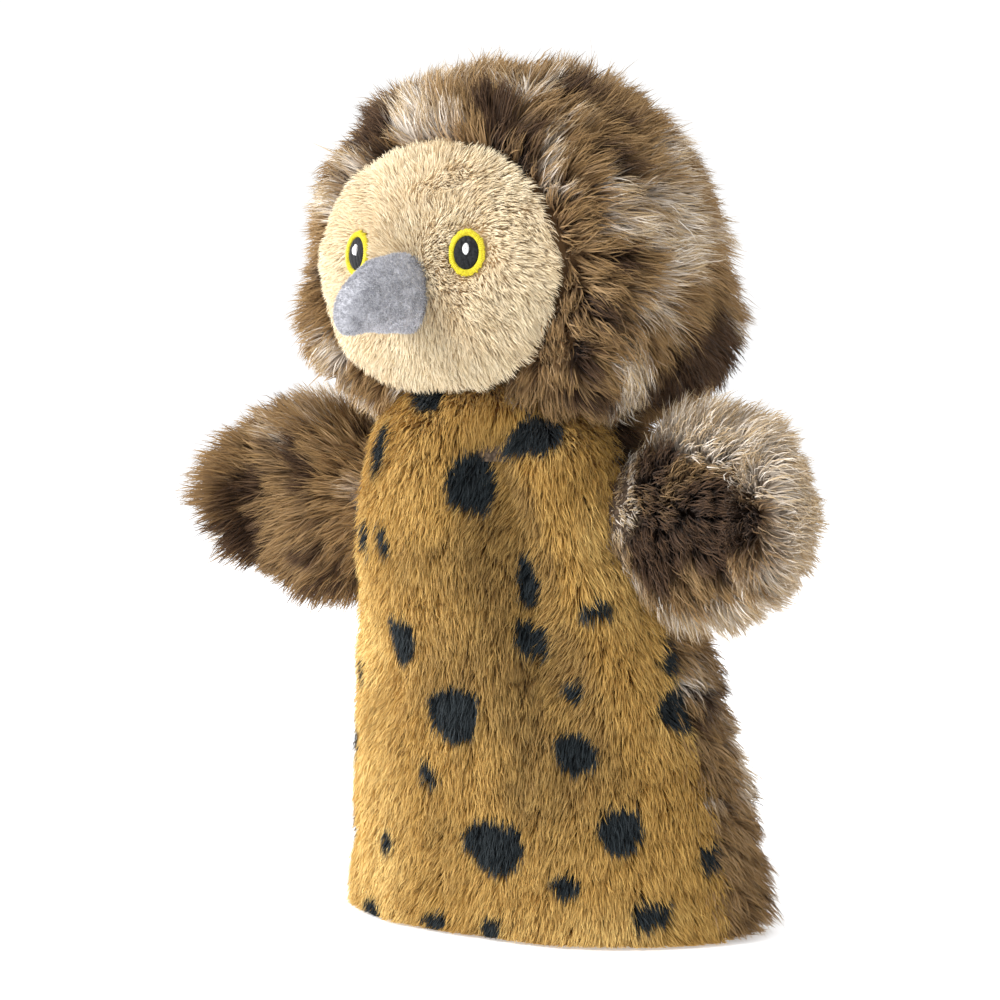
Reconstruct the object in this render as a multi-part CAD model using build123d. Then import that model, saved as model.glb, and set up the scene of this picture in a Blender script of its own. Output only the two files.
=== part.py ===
from build123d import *
from math import radians, tan
import os

os.makedirs("parts", exist_ok=True)

# Plush owl glove puppet: sewn fur panels over linings, a stuffed head, finger pockets and two wings.
#
# Millimetres. +Z is up, the face looks along -Y and the puppet's own left is +X. The origin is the centre
# of the hand opening, in the plane of the hem. Every plush panel's solid includes the depth of its pile.

# Driving dimensions
GAP = 0.3  # between neighbouring pieces
FAR = 400.0  # larger than the whole puppet

TORSO_STATIONS = (  # height, centre in Y, half width, half depth
    (0.0, 0.0, 77.0, 52.0),
    (45.0, -5.0, 71.0, 50.0),
    (90.0, -13.0, 64.0, 48.0),
    (125.0, -20.0, 54.0, 47.5),
    (150.0, -25.0, 48.0, 48.0),
)
BODY_PILE = 7.0  # backing and pile of the body plush
LINING = 1.0
HEM_FOLD = 14.0  # height of the turned-up hem facing
SIDE_SEAM_Y = -13.0  # the side seams' place at the hem
SIDE_SEAM_LEAN = 6.0  # degrees that the side seams lean forward

NECK = (0.0, -25.0, 150.0)  # centre of the neck: the turn and the nod both pass through it
NECK_R = 48.0
NECK_TOP = 24.0  # height of the torso's open top above the neck centre
NECK_SLEEVE_TOP = 28.0
NECK_SLEEVE_BOTTOM = 5.0
NECK_CLEAR = 0.6  # between the torso's dome and the head

HEAD = (0.0, -20.0, 222.0)
HEAD_HALF = (70.0, 60.0, 58.0)
HEAD_PILE = 10.0
HEAD_SEAM_Y = -14.0  # between the crown panels and the nape panels
HEAD_BASE = 1.4
FACE = (0.0, -45.0, 216.5)
FACE_HALF = (56.0, 38.0, 47.0)
FACE_PILE = 5.0
FACE_EDGE_Y = -63.5
POCKET_R = 11.0  # the head's finger pocket
POCKET_WALL = 0.8
POCKET_BOTTOM = 198.8
POCKET_TOP = 246.0

EYE = (22.0, -79.3, 220.5)  # the left eye's centre, on the face
EYE_TURN = 17.5  # degrees from straight ahead
EYE_DEPTH = 12.0  # how far the cut for an eye reaches to each side of the face
EYE_RING = (5.9, 7.2)
EYE_PUPIL = (4.2, 5.3)
EYE_HIGHLIGHT = (1.1, 1.9)
EYE_HIGHLIGHT_UP = 1.2
STITCH = 1.0  # height of the embroidery above the face

BEAK_STATIONS = (  # Y, Z, half width, half height, droop in degrees
    (-76.0, 208.0, 7.6, 12.0, 0.0),
    (-89.0, 207.5, 7.7, 11.6, 8.0),
    (-99.0, 205.2, 7.1, 9.9, 27.0),
    (-106.0, 201.3, 5.6, 7.0, 49.0),
    (-109.5, 197.0, 2.9, 3.6, 66.0),
)
BEAK_CLOTH = 1.2
BEAK_SPLIT = (-80.0, 203.5)  # Y and Z of the line between the upper and the lower beak
BEAK_SPLIT_DROOP = 13.0

SHOULDER = (50.0, -22.0, 136.0)
SHOULDER_R = 20.0
SHOULDER_CLEAR = 0.5
SLEEVE = 1.5
WING_FORWARD = 6.0  # degrees that the wing points forward
WING_MIDDLE = 37.0  # from the shoulder to the middle of the wing
WING_HALF = (38.0, 19.0, 35.0)
WING_PILE = 8.0
WING_SPREAD = 50.0  # half angle of the wing's root, seen from the shoulder
WING_POCKET_R = 9.0
WING_POCKET = (20.8, 45.0)  # from the shoulder to its mouth and to its closed end

LABEL = (20.0, 0.6, 30.0)
LABEL_FOOT = (0.0, 36.0, 6.0)


def ellipsoid(centre, half, inset=0.0):
    """An ellipsoid whose half sizes are smaller by inset."""
    return Pos(*centre) * scale(Sphere(1), by=tuple(size - inset for size in half))


def ball(centre, radius):
    return Pos(*centre) * Sphere(radius)


def slab_above(z):
    return Pos(0, 0, z) * Box(FAR, FAR, FAR, align=(Align.CENTER, Align.CENTER, Align.MIN))


def slab_below(z):
    return Pos(0, 0, z) * Box(FAR, FAR, FAR, align=(Align.CENTER, Align.CENTER, Align.MAX))


def slab_ahead(y):
    """Everything in front of y, towards the face."""
    return Pos(0, y, 0) * Box(FAR, FAR, 2 * FAR, align=(Align.CENTER, Align.MAX, Align.CENTER))


def half_space_left(x):
    return Pos(x, 0, 0) * Box(FAR, FAR, 2 * FAR, align=(Align.MIN, Align.CENTER, Align.CENTER))


def upright_rod(centre, radius, low, high):
    middle = Pos(centre[0], centre[1], low)
    return middle * Cylinder(radius, high - low, align=(Align.CENTER, Align.CENTER, Align.MIN))


def save(name, shape):
    export_step(Compound(shape.solids()) if len(shape.solids()) > 1 else shape.solid(), f"parts/{name}.step")


# ---- torso


def torso_form(inset, top):
    """The bell of the body with its rounded neck, cut off at a height above the neck centre."""
    sections = [
        Pos(0, y, z) * Ellipse(half_x - inset, half_y - inset)
        for z, y, half_x, half_y in TORSO_STATIONS
    ]
    dome = ball(NECK, NECK_R - inset) & slab_above(NECK[2])
    return (loft(sections) + dome) & slab_below(NECK[2] + top)


def torso_layer(outer, inner, top):
    """A layer of cloth between two insets, with round holes for the wings' sleeves."""
    layer = torso_form(outer, top) - torso_form(inner, top + 1)
    for side in (1, -1):
        layer -= ball((side * SHOULDER[0], SHOULDER[1], SHOULDER[2]), SHOULDER_R + SHOULDER_CLEAR)
    return layer


def front_of_seam():
    block = Box(FAR, FAR, 2 * FAR, align=(Align.CENTER, Align.MAX, Align.CENTER))
    return Pos(0, SIDE_SEAM_Y, 0) * Rot(SIDE_SEAM_LEAN, 0, 0) * block


def hem_facing():
    """The turned-up edge inside the hem, against the lining."""
    inset = BODY_PILE + LINING + 2 * GAP
    ring = torso_form(inset, 0) - torso_form(inset + LINING, 0)
    return ring & slab_below(HEM_FOLD)


def care_label():
    """A blank sewn-in label, hanging inside the back."""
    return Pos(*LABEL_FOOT) * Box(*LABEL, align=(Align.CENTER, Align.CENTER, Align.MIN))


def make_torso():
    plush = torso_layer(0, BODY_PILE, NECK_TOP)
    lining_outer = BODY_PILE + GAP
    lining = torso_layer(lining_outer, lining_outer + LINING, NECK_TOP - 2)
    for name, layer in (("panel", plush), ("lining", lining)):
        save(f"front_{name}", layer & front_of_seam())
        save(f"back_{name}", layer - front_of_seam())
    save("hem_facing", hem_facing())
    save("care_label", care_label())


def make_neck():
    outer = NECK_R - BODY_PILE - LINING - 2 * GAP - NECK_CLEAR
    zone = ball(NECK, outer) - ball(NECK, outer - SLEEVE)
    zone = zone & slab_below(NECK[2] + NECK_SLEEVE_TOP) & slab_above(NECK[2] + NECK_SLEEVE_BOTTOM)
    save("neck_sleeve", zone)


# ---- head


def face_block(extra):
    """The bulging face forward of its seam, grown by extra."""
    return ellipsoid(FACE, FACE_HALF, -extra) & slab_ahead(FACE_EDGE_Y + extra)


def head_panels():
    shell = ellipsoid(HEAD, HEAD_HALF) - ellipsoid(HEAD, HEAD_HALF, HEAD_PILE)
    shell = shell - ball(NECK, NECK_R + NECK_CLEAR) - face_block(GAP)
    front = shell & slab_ahead(HEAD_SEAM_Y)
    back = shell - slab_ahead(HEAD_SEAM_Y)
    left = half_space_left(0)
    save("crown_left", front & left)
    save("crown_right", front - left)
    save("nape_left", back & left)
    save("nape_right", back - left)


def face_panel():
    shell = face_block(0) - ellipsoid(FACE, FACE_HALF, FACE_PILE)
    save("face_panel", shell - ball(NECK, NECK_R + NECK_CLEAR))


def head_inside():
    """The base cloth over the neck, the finger pocket and the stuffing round it."""
    pocket_outer = POCKET_R + POCKET_WALL
    inner = ellipsoid(HEAD, HEAD_HALF, HEAD_PILE + GAP)
    base_outer = NECK_R + NECK_CLEAR + HEAD_BASE
    hole = upright_rod(NECK, pocket_outer + GAP, NECK[2], POCKET_TOP + GAP)
    base = (ball(NECK, base_outer) - ball(NECK, NECK_R + NECK_CLEAR)) & inner & slab_above(NECK[2])
    save("head_base", base - hole - face_block(GAP))

    body = inner - face_block(GAP)
    bulge = ellipsoid(FACE, FACE_HALF, FACE_PILE + GAP) & slab_ahead(FACE_EDGE_Y + GAP)
    save("head_stuffing", body + bulge - ball(NECK, base_outer + GAP) - hole)

    outside = upright_rod(NECK, pocket_outer, POCKET_BOTTOM, POCKET_TOP)
    inside = upright_rod(NECK, POCKET_R, POCKET_BOTTOM - 1, POCKET_TOP - POCKET_WALL)
    save("head_finger_pocket", outside - inside)


def oval_rod(half, side, up):
    """An oval rod through one eye, along the way that the eye looks."""
    rod = extrude(Ellipse(*half), EYE_DEPTH, both=True)
    return Pos(side * EYE[0], EYE[1], EYE[2] + up) * Rot(0, 0, side * EYE_TURN) * Rot(90, 0, 0) * rod


def make_eyes():
    for side, word in ((1, "left"), (-1, "right")):
        patch = ellipsoid(FACE, FACE_HALF, -STITCH) - ellipsoid(FACE, FACE_HALF, -0.05)
        ring = oval_rod(EYE_RING, side, 0)
        pupil = oval_rod(EYE_PUPIL, side, 0)
        highlight = oval_rod(EYE_HIGHLIGHT, side, EYE_HIGHLIGHT_UP)
        save(f"eye_ring_{word}", (patch & ring) - pupil)
        save(f"eye_pupil_{word}", (patch & pupil) - highlight)
        save(f"eye_highlight_{word}", patch & highlight)


def beak_form(inset):
    sections = [
        Pos(0, y, z) * Rot(90 + droop, 0, 0) * Ellipse(half_x - inset, half_z - inset)
        for y, z, half_x, half_z, droop in BEAK_STATIONS
    ]
    return loft(sections)


def make_beak():
    face = ellipsoid(FACE, FACE_HALF, -GAP)
    cloth = beak_form(0) - beak_form(BEAK_CLOTH) - face
    block = Box(FAR, FAR, FAR, align=(Align.CENTER, Align.CENTER, Align.MAX))
    under = Pos(0, BEAK_SPLIT[0], BEAK_SPLIT[1]) * Rot(BEAK_SPLIT_DROOP, 0, 0) * block
    save("beak_upper", cloth - under)
    save("beak_lower", cloth & under)
    save("beak_stuffing", beak_form(BEAK_CLOTH + GAP) - face)


# ---- wings


def wing_pieces():
    """The left wing's pieces about its shoulder, pointing along +X."""
    origin = (0, 0, 0)
    middle = (WING_MIDDLE, 0, 0)
    reach = 2 * WING_MIDDLE
    fan = Rot(0, -90, 0) * Pos(0, 0, -reach) * Cone(
        reach * tan(radians(WING_SPREAD)), 0, reach, align=(Align.CENTER, Align.CENTER, Align.MIN)
    )
    root = ball(origin, SHOULDER_R + SHOULDER_CLEAR)
    full = ellipsoid(middle, WING_HALF) & fan
    inner = ellipsoid(middle, WING_HALF, WING_PILE)

    def along(radius, low, high):
        rod = Cylinder(radius, high - low, align=(Align.CENTER, Align.CENTER, Align.MIN))
        return Pos(low, 0, 0) * Rot(0, 90, 0) * rod

    pocket_outer = WING_POCKET_R + POCKET_WALL
    mouth, end = WING_POCKET
    channel = along(pocket_outer + GAP, 0, end + GAP)
    plush = full - inner - root - channel
    stuffing = (ellipsoid(middle, WING_HALF, WING_PILE + GAP) & fan) - root - channel
    pocket = along(pocket_outer, mouth, end) - along(WING_POCKET_R, mouth - 1, end - POCKET_WALL)
    zone = ball(origin, SHOULDER_R) - ball(origin, SHOULDER_R - SLEEVE)
    zone = zone - along(SHOULDER_R, 14, FAR) - along(SHOULDER_R, -FAR, -12)
    near = slab_ahead(0)
    return {
        "side_panels": (plush & near, plush - near),
        "stuffing": stuffing,
        "finger_pocket": pocket,
        "sleeve": zone,
    }


def make_wings():
    """The two wings are one shape, which is the same front and back, turned to point to each side."""
    pieces = wing_pieces()
    near, far = pieces.pop("side_panels")
    x, y, z = SHOULDER
    left = Pos(x, y, z) * Rot(0, 0, -WING_FORWARD)
    right = Pos(-x, y, z) * Rot(0, 0, 180 + WING_FORWARD)
    for word, place, front, back in (("left", left, near, far), ("right", right, far, near)):
        save(f"wing_{word}_front_panel", place * front)
        save(f"wing_{word}_back_panel", place * back)
        for name, piece in pieces.items():
            save(f"wing_{word}_{name}", place * piece)


make_torso()
make_neck()
head_panels()
face_panel()
head_inside()
make_eyes()
make_beak()
make_wings()
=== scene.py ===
"""Plush owl glove puppet: skins, pile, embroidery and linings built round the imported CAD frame.

Lengths are in metres unless a name ends in _MM. +Z is up, the face looks along -Y and the puppet's own
left is +X. The pile is real geometry: thin tapering ribbons rooted on the skin of each sewn panel.
"""

import math
from dataclasses import dataclass

import bmesh
import bpy
import numpy as np
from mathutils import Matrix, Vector


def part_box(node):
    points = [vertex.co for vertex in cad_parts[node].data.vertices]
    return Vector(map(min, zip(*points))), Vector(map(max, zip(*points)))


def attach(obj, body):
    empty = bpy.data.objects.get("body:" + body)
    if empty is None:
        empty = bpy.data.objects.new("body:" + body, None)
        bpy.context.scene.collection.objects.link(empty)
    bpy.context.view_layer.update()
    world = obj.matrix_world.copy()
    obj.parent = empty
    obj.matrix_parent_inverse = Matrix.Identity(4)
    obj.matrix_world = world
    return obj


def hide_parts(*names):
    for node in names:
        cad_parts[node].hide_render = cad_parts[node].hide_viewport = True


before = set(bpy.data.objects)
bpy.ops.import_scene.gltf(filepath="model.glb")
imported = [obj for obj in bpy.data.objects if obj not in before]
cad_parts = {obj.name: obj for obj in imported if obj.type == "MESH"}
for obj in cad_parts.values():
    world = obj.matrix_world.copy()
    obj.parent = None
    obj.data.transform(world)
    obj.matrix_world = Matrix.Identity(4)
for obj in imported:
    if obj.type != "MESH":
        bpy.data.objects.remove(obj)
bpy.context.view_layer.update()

MM = 0.001
UP = np.array([0.0, 0.0, 1.0])
LEVEL = np.array([1.0, 1.0, 0.0])
SIDES = ((1, "left"), (-1, "right"))

# Places and sizes that the skins share with the CAD model
TORSO_MM = np.array([  # height, centre in Y, half width, half depth, with the pile
    [0.0, 0.0, 77.0, 52.0],
    [45.0, -5.0, 71.0, 50.0],
    [90.0, -13.0, 64.0, 48.0],
    [125.0, -20.0, 54.0, 47.5],
    [150.0, -25.0, 48.0, 48.0],
])
NECK = np.array([0.0, -0.025, 0.150])
NECK_R = 0.048
HEAD = np.array([0.0, -0.020, 0.222])
HEAD_HALF = np.array([0.070, 0.060, 0.058])
FACE = np.array([0.0, -0.045, 0.2165])
FACE_HALF = np.array([0.056, 0.038, 0.047])
FACE_EDGE_Y = -0.0635
FACE_DISC = FACE_HALF * math.sqrt(1 - ((FACE_EDGE_Y - FACE[1]) / FACE_HALF[1]) ** 2)
EYE = np.array([0.022, -0.0793, 0.2205])
EYE_TURN = math.radians(17.5)
EYE_RING = (0.0059, 0.0072)
EYE_PUPIL = (0.0042, 0.0053)
EYE_HIGHLIGHT = (0.0011, 0.0019)
EYE_HIGHLIGHT_UP = 0.0012
SHOULDER = np.array([0.050, -0.022, 0.136])
WING_FORWARD = math.radians(6)
SIDE_SEAM_ANGLE = math.radians(8.5)  # how far forward of the sides the body's seams run

BODY_AXIS = np.array([0.0, -0.015, 0.0])
BODY_MIDDLE = np.array([0.0, 0.0, 0.09])
FRONT_SPAN = (-math.pi + SIDE_SEAM_ANGLE, -SIDE_SEAM_ANGLE)
BACK_SPAN = (-SIDE_SEAM_ANGLE, math.pi + SIDE_SEAM_ANGLE)
PLUSH_TOP = 0.184
LINING_TOP = 0.170
BEAK_ROOT = np.array([0.0, -0.082, 0.2085])
BEAK_MIDDLE = np.array([0.0, -0.090, 0.204])

# How far the skins lie inside the CAD envelope, the rest being pile
BODY_SKIN = 0.0062
BACK_SKIN = BODY_SKIN + 0.002
HEAD_SKIN = 0.0110
FACE_SKIN = 0.0036
EYE_INSET = 0.0022  # the embroidery's backing
LINING_INSET = 0.0074

# The wing's skin
WING_SKIN_UP = 0.0255  # half height
WING_SKIN_OUT = 0.0135  # half thickness
WING_SKIN_REACH = 0.0610  # from the shoulder to its tip
WING_RISE = 0.0035  # how far its outer half bends up
WING_ROOT_HOLE = 0.013  # radius of the hole in the body that it comes out of

# Thicknesses of the cloths
BODY_BACKING = 0.0018
WING_BACKING = 0.0016
BEAK_BACKING = 0.0010
FIRM_LINING = 0.0009
SLEEVE_LINING = 0.0008
BODY_LINING = 0.0007
POCKET_LINING = 0.0006
LABEL_RIBBON = 0.0004

# The cloths round each joint and finger: radius, then where each starts and ends along its axis. The head's
# finger pocket is measured from the floor and the rest from their joints.
NECK_SLEEVE = (0.0384, 0.0050, 0.0280)
HEAD_BASE = (0.0498, 0.0362, 0.0483)
HEAD_POCKET = (0.0117, 0.1990, 0.2455)
WING_SLEEVE = (0.0196, -0.0118, 0.0135)
WING_POCKET = (0.0097, 0.0209, 0.0445)

# The fillings: the radius of the ball at the root; the finger's hole, as its radius, its mouth and its closed
# end along the axis from the joint; half the filling's size along the axis and each way across it
HEAD_FILLING = (0.0506, (0.0122, 0.0490, 0.0965), (0.0430, 0.0490, 0.0550))
WING_FILLING = (0.0208, (0.0099, 0.0205, 0.0452), (0.0155, 0.0108, 0.0190))

FLOOR_CLEAR = 0.0004

CAMERA_TURN = 35.0
CAMERA_DISTANCE = 1.05
CAMERA_HEIGHT = 0.209
CAMERA_AIM = np.array([-0.0147, -0.0103, 0.139])
CAMERA_LENS = 113.4


# ---------------------------------------------------------------- numbers


def unit(v):
    return v / np.maximum(np.linalg.norm(v, axis=-1, keepdims=True), 1e-12)


def smooth_step(low, high, x):
    t = np.clip((x - low) / (high - low), 0, 1)
    return t * t * (3 - 2 * t)


def ripple(points, size, seed, waves=14):
    """Smooth noise from -1 to 1 at points, with features about size across: a sum of plane waves."""
    rng = np.random.default_rng(seed)
    total = np.zeros(len(points))
    for _ in range(waves):
        direction = unit(rng.normal(size=3)) * rng.uniform(0.6, 1.5)
        total += np.sin(points @ direction * (2 * math.pi / size) + rng.uniform(0, 2 * math.pi))
    return np.clip(total / math.sqrt(waves), -1.6, 1.6) / 1.6


def ripple_vector(points, size, seed):
    return np.stack([ripple(points, size, seed + k) for k in range(3)], axis=1)


def cell_random(cells, seed, count):
    """count random numbers from 0 to 1 for each integer cell, the same for the same cell."""
    h = (cells[:, 0] * 73856093) ^ (cells[:, 1] * 19349663) ^ (cells[:, 2] * 83492791) ^ (seed * 2654435)
    columns = []
    for k in range(count):
        x = (h + 374761393 * (k + 1)) & 0x7FFFFFFF
        x = ((x ^ (x >> 13)) * 1274126177) & 0x7FFFFFFF
        x = ((x ^ (x >> 11)) * 668265263) & 0x7FFFFFFF
        columns.append((x ^ (x >> 15)) / float(0x7FFFFFFF))
    return np.stack(columns, axis=1)


def tuft_centres(points, size, seed):
    """The nearest of a scatter of tuft centres, about size apart, for each point."""
    base = np.floor(points / size).astype(np.int64)
    best = np.full(len(points), np.inf)
    nearest = points.copy()
    for neighbour in np.ndindex(3, 3, 3):
        cells = base + np.array(neighbour) - 1
        centre = (cells + cell_random(cells, seed, 3)) * size
        gap = ((points - centre) ** 2).sum(axis=1)
        closer = gap < best
        best[closer] = gap[closer]
        nearest[closer] = centre[closer]
    return nearest


# ---------------------------------------------------------------- meshes


def link_object(name, data):
    obj = bpy.data.objects.new(name, data)
    bpy.context.scene.collection.objects.link(obj)
    return obj


def new_object(name, vertices, faces, material):
    mesh = bpy.data.meshes.new(name)
    mesh.from_pydata([tuple(v) for v in vertices], [], [tuple(f) for f in faces])
    mesh.polygons.foreach_set("use_smooth", [True] * len(mesh.polygons))
    mesh.materials.append(material)
    return link_object(name, mesh)


def grid_faces(rows, columns, wrap=False, offset=0):
    """Quads of a rows by columns grid of points, row by row."""
    r, c = np.meshgrid(np.arange(rows - 1), np.arange(columns if wrap else columns - 1), indexing="ij")
    nxt = (c + 1) % columns
    here, below = r * columns, (r + 1) * columns
    return np.stack([here + c, here + nxt, below + nxt, below + c], axis=-1).reshape(-1, 4) + offset


def grid_normals(points):
    """Unit normals of a grid of points (rows, columns, 3)."""
    down = np.gradient(points, axis=0)
    across = np.gradient(points, axis=1)
    return unit(np.cross(across, down))


def cloth_panel(name, points, material, thickness, inside):
    """A closed panel of cloth: a grid of points (rows, columns, 3), thickened towards the point inside."""
    rows, columns, _ = points.shape
    normals = grid_normals(points)
    if ((points - inside) * normals).sum() < 0:
        normals = -normals
    inner = points - normals * thickness
    count = rows * columns
    outer_faces = grid_faces(rows, columns)
    r, c = rows // 2, columns // 2
    across, down = points[r, c + 1] - points[r, c], points[r + 1, c] - points[r, c]
    turned = (np.cross(across, down) * normals[r, c]).sum() < 0
    if turned:
        outer_faces = outer_faces[:, ::-1]
    inner_faces = outer_faces[:, ::-1] + count
    border = np.concatenate([
        np.arange(columns),
        np.arange(1, rows) * columns + columns - 1,
        (rows - 1) * columns + np.arange(columns - 2, -1, -1),
        np.arange(rows - 2, 0, -1) * columns,
    ])
    nxt = np.roll(border, -1)
    rim = np.stack([border, nxt, nxt + count, border + count], axis=1)
    if not turned:
        rim = rim[:, ::-1]
    vertices = np.concatenate([points.reshape(-1, 3), inner.reshape(-1, 3)])
    obj = new_object(name, vertices, np.concatenate([outer_faces, inner_faces, rim]), material)
    obj["skin_faces"] = len(outer_faces)
    return obj


def read(collection, field, width=1, kind=float):
    """One field of every item in a mesh's collection, with width numbers to an item."""
    values = np.empty(len(collection) * width, dtype=kind)
    collection.foreach_get(field, values)
    return values.reshape(-1, width) if width > 1 else values


def point_numbers(mesh, name, values):
    values = np.asarray(values, dtype=np.float32)
    kind, field = ("FLOAT_VECTOR", "vector") if values.ndim == 2 else ("FLOAT", "value")
    mesh.attributes.new(name, kind, "POINT").data.foreach_set(field, values.ravel())


def paint(skin, marks):
    """Gives every point of a skin its numbers. marks holds a function of the points for each name."""
    points = read(skin.data.vertices, "co", 3)
    for name, numbers in marks.items():
        point_numbers(skin.data, name, numbers(points))


# ---------------------------------------------------------------- pile


@dataclass(frozen=True)
class Fur:
    """How one kind of pile grows."""

    per_mm2: float  # strands on each square millimetre of skin
    width: float  # a strand's width at its widest
    tuft: float  # the size of its tufts
    gather: float  # how far the strands of a tuft come together
    stray: float  # how uneven the strands are
    droop: float  # how far the tips hang down
    levels: int = 5  # points along a strand
    flyaway: float = 0.0  # the share of loose long hairs


FRONT_FUR = Fur(4.2, 0.00038, tuft=0.0075, gather=0.22, stray=0.13, droop=0.15, levels=4)
BACK_FUR = Fur(1.95, 0.00062, tuft=0.0072, gather=0.78, stray=0.15, droop=0.20)
HEAD_FUR = Fur(2.5, 0.00062, tuft=0.0070, gather=0.78, stray=0.15, droop=0.10, flyaway=0.0006)
FACE_FUR = Fur(6.0, 0.00034, tuft=0.0052, gather=0.16, stray=0.085, droop=0.10, levels=4)
BEAK_NAP = Fur(9.0, 0.00020, tuft=0.0016, gather=0.3, stray=0.3, droop=0.0, levels=3)
WING_FUR = Fur(2.9, 0.00060, tuft=0.0062, gather=0.62, stray=0.11, droop=0.20)

# A strand's width at each of its points but the tip, as a share of its widest, for each number of points
TAPER = {3: (0.75, 1.0), 4: (0.75, 1.0, 0.8), 5: (0.75, 29 / 30, 11 / 15, 0.4)}


def scatter(skin, per_mm2, seed, keep=None):
    """Random places on the outer faces of a cloth panel, where keep(points) is true: points and normals."""
    mesh = skin.data
    mesh.calc_loop_triangles()
    points = read(mesh.vertices, "co", 3)
    normals = read(mesh.vertex_normals, "vector", 3)
    corners = read(mesh.loop_triangles, "vertices", 3, np.int32)
    owner = read(mesh.loop_triangles, "polygon_index", kind=np.int32)
    corners = corners[owner < skin["skin_faces"]]
    a, b, c = (points[corners[:, k]] for k in range(3))
    areas = np.linalg.norm(np.cross(b - a, c - a), axis=1) / 2
    rng = np.random.default_rng(seed)
    count = int(areas.sum() / MM**2 * per_mm2)
    chosen = corners[np.searchsorted(np.cumsum(areas) / areas.sum(), rng.random(count))]
    u, v = rng.random(count), rng.random(count)
    over = u + v > 1
    u[over], v[over] = 1 - u[over], 1 - v[over]
    share = np.stack([1 - u - v, u, v], axis=1)[:, :, None]
    place = (points[chosen] * share).sum(axis=1)
    normal = unit((normals[chosen] * share).sum(axis=1))
    if keep is None:
        return place, normal
    kept = keep(place)
    return place[kept], normal[kept]


def split(points, count):
    """Shares points out by height into parts of about the same number."""
    order = np.argsort(points[:, 2], kind="stable")
    return np.array_split(order, count)


def grow(names, fur, material, seed, place, normal, flow, length, lean, marks=None):
    """A panel's pile, in one object for each name: several names share its strands out by height.

    flow is each strand's direction along the skin, length its length and lean how far it lies over. marks
    holds a function of the roots for each number that the colour reads.
    """
    lean = np.broadcast_to(lean, len(place))
    parts = split(place, len(names)) if len(names) > 1 else [slice(None)]
    grown = []
    for k, (name, part) in enumerate(zip(names, parts)):
        numbers = {mark: value(place[part]) for mark, value in (marks or {}).items()}
        grown.append(pile(name, fur, material, seed + k, place[part], normal[part], flow[part], length[part],
                          lean[part, None], numbers))
    return grown


def numbered(name, count):
    return [f"{name}_{k + 1}" for k in range(count)]


def pile(name, fur, material, seed, place, normal, flow, length, lean, numbers):
    """One object of strands: each leaves the skin near its normal and bends over towards its flow."""
    rng = np.random.default_rng(seed)
    count = len(place)
    flow = unit(flow - (flow * normal).sum(axis=1, keepdims=True) * normal + 1e-9)
    scattered = rng.normal(size=(count, 3)) * fur.stray
    start = unit(normal + 0.35 * lean * flow + 0.5 * scattered)
    end = unit((1 - 0.75 * lean) * normal + 1.3 * lean * flow + scattered - fur.droop * UP)
    loose = rng.random(count) < fur.flyaway
    length = (length * rng.uniform(0.72, 1.12, count) * (1 + 0.7 * loose))[:, None]
    inward = tuft_centres(place, fur.tuft, seed) - place
    inward -= (inward * normal).sum(axis=1, keepdims=True) * normal
    bend = rng.normal(size=(count, 3)) * 0.06
    path = np.empty((count, fur.levels, 3))
    for k, t in enumerate(np.linspace(0, 1, fur.levels)):
        step = start * (t - 0.5 * t * t) + end * (0.5 * t * t)
        along = length * (step * 1.15 + bend * math.sin(math.pi * t))
        path[:, k] = place + along + inward * fur.gather * t**1.4
    path[:, :, 2] = np.maximum(path[:, :, 2], FLOOR_CLEAR)
    direction = unit(path[:, -1] - path[:, 0])
    side = unit(np.cross(direction, normal + rng.normal(size=(count, 3)) * 0.55))
    facing = (np.cross(side, direction) * normal).sum(axis=1)
    side[facing < 0] *= -1
    numbers = {"root_at": place, "shade": rng.random(count), **numbers}
    return strand_mesh(name, path, side, fur.width * rng.uniform(0.7, 1.3, count), numbers, material)


def strand_mesh(name, path, side, width, numbers, material):
    """Tapering ribbons. path is (strands, levels, 3); side is each strand's unit vector across it."""
    strands, levels, _ = path.shape
    half = (width[:, None] * np.array(TAPER[levels]) / 2)[:, :, None] * side[:, None, :]
    per = 2 * levels - 1
    vertices = np.empty((strands, per, 3), dtype=np.float32)
    vertices[:, 0:-1:2] = path[:, :-1] - half
    vertices[:, 1:-1:2] = path[:, :-1] + half
    vertices[:, -1] = path[:, -1]
    quads = levels - 2
    corners = [corner for k in range(0, 2 * quads, 2) for corner in (k, k + 1, k + 3, k + 2)]
    corners = np.array(corners + [2 * quads, 2 * quads + 1, 2 * quads + 2])
    strand = np.arange(strands)[:, None]
    loops = (strand * per + corners).ravel()
    starts = (strand * len(corners) + np.arange(quads + 1) * 4).ravel()
    mesh = bpy.data.meshes.new(name)
    mesh.vertices.add(strands * per)
    mesh.vertices.foreach_set("co", vertices.ravel())
    mesh.loops.add(len(loops))
    mesh.loops.foreach_set("vertex_index", loops.astype(np.int32))
    mesh.polygons.add(len(starts))
    mesh.polygons.foreach_set("loop_start", starts.astype(np.int32))
    mesh.polygons.foreach_set("loop_total", np.tile([4] * quads + [3], strands).astype(np.int32))
    mesh.polygons.foreach_set("use_smooth", np.ones(len(starts), dtype=bool))
    heights = np.append(np.repeat(np.linspace(0, 1, levels)[:-1], 2), 1.0)
    bake_cells(mesh, strands, heights, corners)
    point_numbers(mesh, "along", np.tile(heights, strands))
    for number, value in numbers.items():
        point_numbers(mesh, number, np.repeat(value, per, axis=0))
    mesh.update(calc_edges=True)
    mesh.materials.append(material)
    return link_object(name, mesh)


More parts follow.
